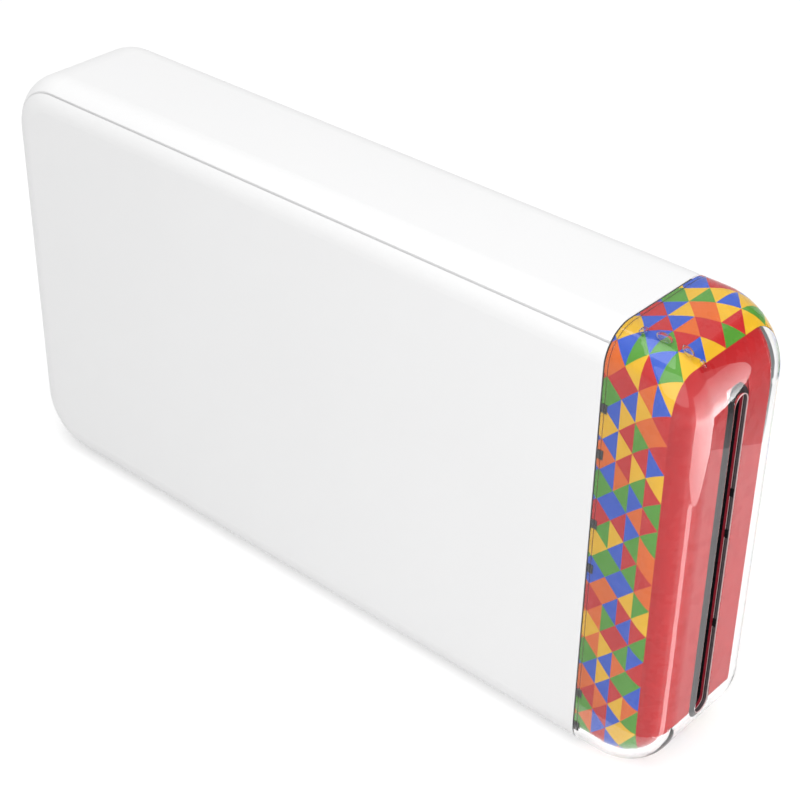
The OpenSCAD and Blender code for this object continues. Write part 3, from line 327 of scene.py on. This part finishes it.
LOOKS = {
    "white_housing": white_housing(),
    "clear_shell": clear_shell(),
    "coloured_liner": gloss("coloured_liner", LINER_RED),
    "black_plastic": moulded("black_plastic", (0.014, 0.014, 0.016), 0.34, 0.3, 0.02, 0.2),
    "dark_plastic": moulded("dark_plastic", (0.035, 0.036, 0.04), 0.5, 0.35, 0.03, 0.15),
    "steel": drawn_steel(),
    "plated_sheet": plated_sheet(),
    "brass": drawn_steel("brass", (0.78, 0.56, 0.24), (5, 5, 0.3)),
    "aluminium": drawn_steel("aluminium", (0.72, 0.73, 0.75), (6, 6, 0.25)),
    "rubber": rubber(),
    "ceramic": ceramic(),
    "gear_plastic": moulded("gear_plastic", (0.78, 0.76, 0.68), 0.42, 0.4, 0.015, 0.06, IOR=1.48),
    "board_green": board_green(),
    "chip_black": moulded("chip_black", (0.022, 0.022, 0.024), 0.55, 0.2, 0.02, 0.2),
    "light_diffuser": light_diffuser(),
    "battery_foil": battery_foil(),
    "cable_film": cable_film(),
}


def dress_cad_nodes():
    for part in frame["record"]["subparts"]:
        node = frame["nodes"][part["node"]]
        node.data.materials.clear()
        node.data.materials.append(LOOKS[part["material_slot"]])


# ---------- mosaic inside the clear shell ----------

# Rows of triangles run round inside the clear shell, from the door's joint towards its end face
MOSAIC_ROWS = 4
TILES_ROUND = 36
ROW_DEPTH = 2.7 * MM
FILM_START = DOOR_X + 0.05 * MM
FILM_LIFT = 0.2 * MM  # from the liner to the film where it is bonded into the clear shell's wall
REST_LIFT = 0.05 * MM  # and where it lies on the liner
BOND_HEIGHTS = (8.5 * MM, 11.5 * MM)  # it goes from the one to the other between these heights
TILE_STEPS = 4  # small triangles along each side of a tile
RING_STEPS = 160
END_STEPS = 24
END_ROUND = 240
FILM_MARGIN = 0.1 * MM  # between the film and the slot's bezel or the far edge
HINGE_Y = 7.6 * MM  # the liner is open for the hinge from here to the back face
HINGE_END = DOOR_X + 5.4 * MM  # and from the door's joint to here
MOSAIC_ENDS = 8 * MM  # height at the top and at the bottom where the mosaic runs on past the hinge
TILE_COLOURS = {
    "tile_blue": (0.025, 0.085, 0.48),
    "tile_green": (0.07, 0.27, 0.025),
    "tile_yellow": (0.68, 0.40, 0.015),
    "tile_orange": (0.62, 0.12, 0.012),
    "tile_red": (0.46, 0.014, 0.016),
}


def ring_outline(x, inset):
    """Quarter of the slab's cut at x: (y across the width, z through the thickness), in the lying frame,
    from the middle of the front face to the middle of the side."""
    corner, edge = CORNER_R - inset, EDGE_R - inset
    spine_x, spine_y = END_X - CORNER_R, HALF_W - CORNER_R
    front_z = HALF_T - inset
    reach = min(max(0.0, x - spine_x), corner)
    points = []
    for i in range(RING_STEPS + 1):
        turn = math.pi / 2 * i / RING_STEPS
        out = corner - edge + edge * math.sin(turn)
        if out >= reach or i == RING_STEPS:
            width = math.sqrt(max(0.0, out * out - reach * reach))
            points.append((spine_y + width, front_z - edge + edge * math.cos(turn)))
    return [(0.0, points[0][1])] + points + [(points[-1][0], 0.0)]


def along(points, share):
    """The point at a share of a polyline's length."""
    lengths = [math.dist(a, b) for a, b in zip(points, points[1:])]
    left = share * sum(lengths)
    for (a, b), length in zip(zip(points, points[1:]), lengths):
        if left <= length and length > 0:
            return tuple(p + (q - p) * left / length for p, q in zip(a, b))
        left -= length
    return points[-1]


def on_ring(quarter, share):
    """The row-frame (y, z) at a share of the whole ring, counted from the middle of the front face."""
    turn = (share % 1.0) * 4
    k = int(turn)
    part = turn - k
    y, z = along(quarter, part if k % 2 == 0 else 1 - part)
    y *= 1 if k in (0, 1) else -1
    z *= 1 if k in (0, 3) else -1
    return -z, y + HALF_W


def tile_palette():
    """One colour name for each tile, no two neighbours in a row alike."""
    rng = random.Random(7)
    names = list(TILE_COLOURS)
    rows = []
    for _ in range(MOSAIC_ROWS):
        picks = []
        for _ in range(2 * TILES_ROUND):
            free = [n for n in names if not picks or n != picks[-1]]
            picks.append(rng.choice(free))
        rows.append(picks)
    return rows


def add_mesh(name, build, materials, smooth=True):
    """A mesh object from a function that fills a bmesh."""
    mesh = bpy.data.meshes.new(name)
    bm = bmesh.new()
    build(bm)
    bm.to_mesh(mesh)
    bm.free()
    for material in materials:
        mesh.materials.append(material)
    mesh.polygons.foreach_set("use_smooth", [smooth] * len(mesh.polygons))
    piece = bpy.data.objects.new(name, mesh)
    bpy.context.scene.collection.objects.link(piece)
    return piece


def build_mosaic(bm):
    """The rows of tiles. Tiles that stand on a row's near edge take turns with flipped ones."""
    palette = tile_palette()
    names = list(TILE_COLOURS)
    outlines, verts = {}, {}

    def vert(row, step, k):
        """Corner of a small triangle: step of TILE_STEPS into the row, and its place round the ring."""
        key = (row * TILE_STEPS + step, round(k * TILE_STEPS * 2) % (TILES_ROUND * TILE_STEPS * 2))
        if key not in verts:
            x = round(FILM_START + ROW_DEPTH * (row + step / TILE_STEPS), 9)
            verts[key] = bm.verts.new(film_point(outlines, x, k / TILES_ROUND))
        return verts[key]

    for row in range(MOSAIC_ROWS):
        base = 0.5 * (row % 2)
        for tile in range(TILES_ROUND):
            for flip in (0, 1):
                colour = names.index(palette[row][2 * tile + flip])
                fill_tile(bm, vert, row, base + tile, flip, colour)
    open_at_hinge(bm, MOSAIC_ENDS)


def fill_tile(bm, vert, row, k, flip, colour):
    """One tile in small triangles. It stands on the row's near edge or, flipped, on its far edge."""
    n = TILE_STEPS

    def corner(step, col):
        if flip:
            return vert(row, n - step, k + 0.5 + (col + step / 2) / n)
        return vert(row, step, k + (col + step / 2) / n)

    for step in range(n):
        for col in range(n - step):
            faces = [(corner(step, col), corner(step, col + 1), corner(step + 1, col))]
            if col + step < n - 1:
                faces.append((corner(step, col + 1), corner(step + 1, col + 1), corner(step + 1, col)))
            for face in faces:
                made = bm.faces.new(face if flip else face[::-1])
                made.material_index = colour


def film_point(outlines, x, share):
    """A place on the film, which is bonded into the clear shell but lies on the liner along the bottom.
    The outlines at each x are kept from call to call."""
    if x not in outlines:
        outlines[x] = [ring_outline(x, LINER_INSET - lift) for lift in (REST_LIFT, FILM_LIFT)]
    resting, bonded = (Vector((x, *on_ring(quarter, share))) for quarter in outlines[x])
    low, high = BOND_HEIGHTS
    return resting.lerp(bonded, min(1.0, max(0.0, (bonded.z - low) / (high - low))))


def split_at(bm, axis, place):
    """Splits every face that crosses a plane square to an axis, with 1 for y and 2 for z."""
    normal = Vector((0, 0, 0))
    normal[axis] = 1
    everything = bm.verts[:] + bm.edges[:] + bm.faces[:]
    bmesh.ops.bisect_plane(bm, geom=everything, plane_co=normal * place, plane_no=normal)


def drop_faces(bm, unwanted):
    """Deletes the faces whose middle a test picks out."""
    spare = [face for face in bm.faces if unwanted(face.calc_center_median())]
    bmesh.ops.delete(bm, geom=spare, context="FACES")


def open_at_hinge(bm, ends=0.0):
    """Cuts a piece away where the liner is open for the hinge, but for its ends at top and bottom."""
    top = 2 * HALF_W - ends
    split_at(bm, 1, HINGE_Y)
    if ends:
        split_at(bm, 2, ends)
        split_at(bm, 2, top)
    drop_faces(bm, lambda middle: middle.y > HINGE_Y and middle.x < HINGE_END and ends < middle.z < top)


def bridge(bm, ring, after):
    """Joins two closed rings that have as many corners."""
    for k in range(len(ring)):
        n = (k + 1) % len(ring)
        bm.faces.new((ring[k], ring[n], after[n], after[k]))


def build_end_film(bm):
    """Plain film from the mosaic over the end face, open round the slot and at the far edge."""
    first, last = FILM_START + MOSAIC_ROWS * ROW_DEPTH, END_X - LINER_INSET + FILM_LIFT
    outlines, rings = {}, []
    for step in range(END_STEPS + 1):
        x = first + (last - first) * math.sin(math.pi / 2 * step / END_STEPS)
        rings.append([bm.verts.new(film_point(outlines, x, k / END_ROUND)) for k in range(END_ROUND)])
    for ring, after in zip(rings, rings[1:]):
        bridge(bm, ring, after)
    bm.faces.new(rings[-1])
    far_edge = HALF_T - EDGE_R - FILM_MARGIN
    split_at(bm, 1, far_edge)
    drop_faces(bm, lambda middle: middle.y > far_edge)
    slot_low, slot_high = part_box("slot_bezel")
    spans = [(axis, slot_low[axis] - FILM_MARGIN, slot_high[axis] + FILM_MARGIN) for axis in (1, 2)]
    for axis, low, high in spans:
        split_at(bm, axis, low)
        split_at(bm, axis, high)
    drop_faces(bm, lambda middle: all(low < middle[axis] < high for axis, low, high in spans))
    bmesh.ops.recalc_face_normals(bm, faces=bm.faces[:])


def add_mosaic():
    materials = [gloss(name, colour, 0.05) for name, colour in TILE_COLOURS.items()]
    piece = add_mesh("liner_mosaic", build_mosaic, materials)
    end_film = add_mesh("liner_end_film", build_end_film, [LOOKS["coloured_liner"]])
    for film in (piece, end_film):
        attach(film, "door")


# ---------- rim of the paper slot and marks in the door ----------

# All sizes in this section are in millimetres
RIM_W = 0.85  # from the slot's edge to the bezel's own edge
RIM_STEPS = 96
# Colours of the slot's rim: the flange's own black, and on the sleeve painted highlight, painted shade
# and painted refraction
RIM_COLOURS = {
    "rim_black_and_painted_shade": (0.012, 0.012, 0.014),
    "rim_painted_grey_refraction": (0.11, 0.09, 0.095),
    "rim_painted_red_refraction": (0.42, 0.03, 0.05),
    "rim_painted_highlight": (0.80, 0.60, 0.60),
}
# The sleeve's inner and outer wall, counted outwards from the slot's edge
BORE = -0.14
SLEEVE = -0.02
# The flange's two faces, counted inwards from the end face
FLANGE_TOP = 1.69
FLANGE_LOW = 3.10
# Place out from the slot's edge, depth below the end face and the colour up to the next point. The
# flange's black is its own. On the sleeve, pale is painted highlight, black is painted shade, and grey
# and red are painted refraction of the slot's dark inside and of the liner.
RIM_SECTION = [
    (BORE, 0.06, "rim_painted_highlight"),
    (SLEEVE, 0.06, "rim_painted_highlight"),
    (SLEEVE, FLANGE_TOP, "rim_black_and_painted_shade"),
    (RIM_W, FLANGE_TOP, "rim_black_and_painted_shade"),
    (RIM_W, FLANGE_LOW, "rim_black_and_painted_shade"),
    (BORE, FLANGE_LOW, "rim_black_and_painted_shade"),
    (BORE, 1.35, "rim_painted_red_refraction"),
    (BORE, 0.90, "rim_painted_highlight"),
    (BORE, 0.80, "rim_black_and_painted_shade"),
    (BORE, 0.68, "rim_painted_grey_refraction"),
    (BORE, 0.20, "rim_painted_highlight"),
]
GUIDE_HEIGHTS = (52.0, 44.3, 26.8)  # small paper guides in the slot
GUIDE_HALF_W = 0.7
GUIDE_T = 0.25
GUIDE_SINK = 0.1  # from the slot's edge into the slot
GUIDE_DEPTHS = (0.8, 0.2)  # below the end face
# Black snap tabs at the door's joint: their black is painted shade of the gaps round them
TAB_HEIGHTS = (66.9, 58.8, 46.0, 37.5, 12.0, 5.0)  # snap tabs at the door's joint
TAB_HALF_W = 0.8
TAB_REACH = (0.05, 0.5)  # from the joint along the body
TAB_LIFTS = (0.2, 0.02)  # from the film outwards
# Place along the body, place through its thickness and half length
BUBBLES = ((62.4, -8.6, 0.9), (65.6, -8.0, 1.3), (69.2, -7.0, 1.1), (71.4, -6.2, 0.7))
BUBBLE_DEPTH = 0.75
BUBBLE_SLIM = 0.7  # width over length
BUBBLE_HALF_T = 0.4
# Dark strip in the joint between the housing and the door: painted shadow in the gap
SHADOW_REACH = (0.26, 0.04)  # from the door's liner towards the housing
SHADOW_INSETS = (0.1, 0.5)


def add_block(bm, low, high):
    """Box between two corners, in millimetres of the row frame."""
    low, high = Vector(low) * MM, Vector(high) * MM
    place = Matrix.LocRotScale((low + high) / 2, None, high - low)
    bmesh.ops.create_cube(bm, size=1, matrix=place)


def build_rim(bm):
    """Sleeve and flange swept round the slot, with the paper guides on its wall towards the back. The
    sleeve's bands are painted highlight, painted shade and painted refraction.
    """
    low, high = (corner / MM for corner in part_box("slot_bezel"))
    radius = (high.y - low.y) / 2 - RIM_W
    spine = (high.z - low.z) / 2 - RIM_W - radius
    middle = (low + high) / 2
    face_x = END_X / MM
    names = list(RIM_COLOURS)
    rings = []
    for i in range(RIM_STEPS):
        turn = math.tau * (i + 0.5) / RIM_STEPS
        centre_z = middle.z + math.copysign(spine, math.sin(turn))
        rings.append([
            bm.verts.new(Vector((
                face_x - depth,
                middle.y + (radius + out) * math.cos(turn),
                centre_z + (radius + out) * math.sin(turn),
            )) * MM)
            for out, depth, _ in RIM_SECTION
        ])
    for ring, after in zip(rings, rings[1:] + rings[:1]):
        for j, (_, _, name) in enumerate(RIM_SECTION):
            k = (j + 1) % len(RIM_SECTION)
            bm.faces.new((ring[j], ring[k], after[k], after[j])).material_index = names.index(name)
    wall_y = middle.y + radius - GUIDE_SINK
    deep, shallow = GUIDE_DEPTHS
    for z in GUIDE_HEIGHTS:
        add_block(bm, (face_x - deep, wall_y - GUIDE_T, z - GUIDE_HALF_W),
                  (face_x - shallow, wall_y, z + GUIDE_HALF_W))
    bmesh.ops.recalc_face_normals(bm, faces=bm.faces[:])


def build_tabs_painted_shade(bm):
    """Snap tabs moulded into the clear shell, at the joint on the front face. Their black is painted
    shade of the gaps round them.
    """
    film_y = -(HALF_T - LINER_INSET + FILM_LIFT) / MM
    joint_x = DOOR_X / MM
    for z in TAB_HEIGHTS:
        add_block(bm, (joint_x + TAB_REACH[0], film_y - TAB_LIFTS[0], z - TAB_HALF_W),
                  (joint_x + TAB_REACH[1], film_y - TAB_LIFTS[1], z + TAB_HALF_W))


def build_bubbles(bm):
    """Flat bubbles in the wall of the clear shell, at its upper corner."""
    corner = CORNER_R / MM
    spine_x, spine_z = END_X / MM - corner, 2 * HALF_W / MM - corner
    for x, y, length in BUBBLES:
        reach = max(0.0, x - spine_x)
        out = Vector((reach, 0, math.sqrt(corner * corner - reach * reach))) / corner
        skin = Vector((min(x, spine_x), y, spine_z)) + out * corner
        middle = (skin - out * BUBBLE_DEPTH) * MM
        half_size = Vector((length * BUBBLE_SLIM, length, BUBBLE_HALF_T)) * MM
        place = Matrix.LocRotScale(middle, out.to_track_quat("Z", "Y"), half_size)
        bmesh.ops.create_icosphere(bm, subdivisions=3, radius=1, matrix=place)


def build_joint_shadow(bm):
    """Dark strip in the joint between the housing and the door, open at the hinge. It is painted shadow
    in the gap.
    """
    near, far = (DOOR_X - reach * MM for reach in SHADOW_REACH)
    outer, inner = SHADOW_INSETS
    rings = []
    for x, inset in ((near, outer), (far, outer), (far, inner), (near, inner)):
        quarter = ring_outline(x, inset * MM)
        rings.append([bm.verts.new((x, *on_ring(quarter, k / END_ROUND))) for k in range(END_ROUND)])
    for ring, after in zip(rings, rings[1:] + rings[:1]):
        bridge(bm, ring, after)
    open_at_hinge(bm)
    bmesh.ops.holes_fill(bm, edges=[e for e in bm.edges if e.is_boundary])
    bmesh.ops.recalc_face_normals(bm, faces=bm.faces[:])


def add_door_marks():
    # The rim's sleeve carries painted highlight, painted shade and painted refraction
    rim = add_mesh("slot_rim", build_rim, [gloss(n, c) for n, c in RIM_COLOURS.items()], smooth=False)
    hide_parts("slot_bezel")
    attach(rim, "door")
    # Dark strip in the joint: painted shadow
    joint_shadow = add_mesh("joint_painted_shadow", build_joint_shadow, [LOOKS["black_plastic"]], smooth=False)
    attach(joint_shadow, "root")
    bubbles = add_mesh("shell_bubbles", build_bubbles, [bubble_glass()])
    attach(bubbles, "door")
    # Black tabs: painted shade of the gaps at the joint
    tabs_painted_shade = add_mesh("snap_tabs_painted_shade", build_tabs_painted_shade, [LOOKS["black_plastic"]], smooth=False)
    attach(tabs_painted_shade, "door")


# ---------- stage ----------


FLOOR_HALF = 3.0
FLOOR_GREY = 0.70
FLOOR_LIFT = 0.40
WORLD_LIGHT = 0.66
WORLD_SEEN = 1.0


def seen_ray(nodes, links):
    """1 for the rays that show the background: the camera's, and those through glass and off gloss."""
    path = nodes.new("ShaderNodeLightPath")
    output = path.outputs["Is Camera Ray"]
    for kind in ("Is Transmission Ray", "Is Glossy Ray"):
        either = nodes.new("ShaderNodeMath")
        either.operation = "MAXIMUM"
        links.new(output, either.inputs[0])
        links.new(path.outputs[kind], either.inputs[1])
        output = either.outputs[0]
    return output


def floor_material():
    """A pale matt surface that the camera, gloss and glass see lifted towards white."""
    material = bpy.data.materials.new("floor")
    material.use_nodes = True
    nodes, links = material.node_tree.nodes, material.node_tree.links
    shader = nodes["Principled BSDF"]
    shader.inputs["Base Color"].default_value = (FLOOR_GREY, FLOOR_GREY, FLOOR_GREY, 1)
    shader.inputs["Roughness"].default_value = 0.9
    shader.inputs["Specular IOR Level"].default_value = 0.1
    glow = nodes.new("ShaderNodeEmission")
    glow.inputs["Strength"].default_value = FLOOR_LIFT
    dark = nodes.new("ShaderNodeEmission")
    dark.inputs["Strength"].default_value = 0
    pick = nodes.new("ShaderNodeMixShader")
    links.new(seen_ray(nodes, links), pick.inputs["Fac"])
    links.new(dark.outputs[0], pick.inputs[1])
    links.new(glow.outputs[0], pick.inputs[2])
    both = nodes.new("ShaderNodeAddShader")
    links.new(shader.outputs[0], both.inputs[0])
    links.new(pick.outputs[0], both.inputs[1])
    links.new(both.outputs[0], nodes["Material Output"].inputs["Surface"])
    return material


def add_floor():
    def build(bm):
        signs = ((-1, -1), (1, -1), (1, 1), (-1, 1))
        bm.faces.new([bm.verts.new((x * FLOOR_HALF, y * FLOOR_HALF, 0)) for x, y in signs])

    floor = add_mesh("floor", build, [floor_material()], smooth=False)


def add_world():
    world = bpy.data.worlds.new("studio")
    world.use_nodes = True
    nodes, links = world.node_tree.nodes, world.node_tree.links
    nodes.clear()
    light = nodes.new("ShaderNodeBackground")
    light.inputs["Strength"].default_value = WORLD_LIGHT
    seen = nodes.new("ShaderNodeBackground")
    seen.inputs["Strength"].default_value = WORLD_SEEN
    pick = nodes.new("ShaderNodeMixShader")
    links.new(seen_ray(nodes, links), pick.inputs["Fac"])
    links.new(light.outputs[0], pick.inputs[1])
    links.new(seen.outputs[0], pick.inputs[2])
    output = nodes.new("ShaderNodeOutputWorld")
    links.new(pick.outputs[0], output.inputs["Surface"])
    bpy.context.scene.world = world


def add_lamp(name, azimuth, elevation, distance, size, power):
    """Soft area lamp at a direction from the middle of the body, aimed at it."""
    data = bpy.data.lights.new(name, "AREA")
    data.shape = "RECTANGLE"
    data.size, data.size_y = size
    data.energy = power
    lamp = bpy.data.objects.new(name, data)
    bpy.context.scene.collection.objects.link(lamp)
    away = direction(azimuth, elevation)
    middle = Vector((0, 0, HALF_W))
    lamp.location = middle + away * distance
    lamp.rotation_mode = "QUATERNION"
    lamp.rotation_quaternion = (-away).to_track_quat("-Z", "Y")


def card_material(name, low, high, peak, stops):
    """Glow of peak times a level, which goes from stop to stop between two heights in millimetres."""
    material = bpy.data.materials.new(name)
    material.use_nodes = True
    nodes, links = material.node_tree.nodes, material.node_tree.links
    nodes.clear()
    coords = nodes.new("ShaderNodeTexCoord")
    split = nodes.new("ShaderNodeSeparateXYZ")
    links.new(coords.outputs["Object"], split.inputs[0])
    share = nodes.new("ShaderNodeMapRange")
    share.inputs["From Min"].default_value = low * MM
    share.inputs["From Max"].default_value = high * MM
    links.new(split.outputs["Z"], share.inputs["Value"])
    ramp = nodes.new("ShaderNodeValToRGB")
    while len(ramp.color_ramp.elements) < len(stops):
        ramp.color_ramp.elements.new(0.5)
    for element, (place, level) in zip(ramp.color_ramp.elements, stops):
        element.position = place
        element.color = (level, level, level, 1)
    links.new(share.outputs["Result"], ramp.inputs["Fac"])
    glow = nodes.new("ShaderNodeEmission")
    glow.inputs["Strength"].default_value = peak
    links.new(ramp.outputs["Color"], glow.inputs["Color"])
    output = nodes.new("ShaderNodeOutputMaterial")
    links.new(glow.outputs[0], output.inputs["Surface"])
    return material


def add_card(name, corners, peak, stops):
    """Studio card that only gloss and glass show, from its corners in millimetres. It glows by peak
    times the level that the stops give on the way from its lowest corner to its highest."""
    heights = [z for _, _, z in corners]
    material = card_material(name, min(heights), max(heights), peak, stops)

    def build(bm):
        bm.faces.new([bm.verts.new(Vector(corner) * MM) for corner in corners])

    card = add_mesh(name, build, [material], smooth=False)
    card.visible_camera = card.visible_diffuse = card.visible_shadow = False


def upright(start, end, low, high):
    """Corners of a card that stands from start to end, each (x, y), between two heights."""
    return [(*start, low), (*end, low), (*end, high), (*start, high)]


def flat(outline, height):
    """Corners of a card that lies level over an outline of (x, y)."""
    return [(x, y, height) for x, y in outline]


def add_cards():
    even = [(0.0, 1.0), (1.0, 1.0)]
    add_card("soft_card", upright((155, -28), (128, 63), 3, 96), 9.0,
             [(0.0, 0.5), (0.42, 1.0), (0.56, 0.5), (1.0, 0.2)])
    add_card("dark_card", upright((128, 63), (82, 134), 0, 160), 0.6,
             [(0.0, 1.0), (0.07, 0.3), (0.9, 0.3), (1.0, 0.8)])
    add_card("floor_card", flat([(78, -130), (230, -130), (230, 140), (78, 140)], 0.5), 1.1, even)
    add_card("edge_card", flat([(78, -12), (150, -15), (150, 5), (78, -10)], 0.8), 6.0, even)


def add_lights():
    add_lamp("top", 20, 80, 0.9, (0.8, 0.8), 4.5)
    add_lamp("front", 40, 24, 0.42, (0.4, 0.3), 0.62)


bpy.context.scene.view_settings.view_transform = "Standard"
add_camera()
add_world()
add_lights()
add_cards()
add_floor()
dress_cad_nodes()
# The clear shell casts no shadow, so the lamps reach the liner under it
frame["nodes"]["door_shell"].visible_shadow = False
add_mosaic()
add_door_marks()
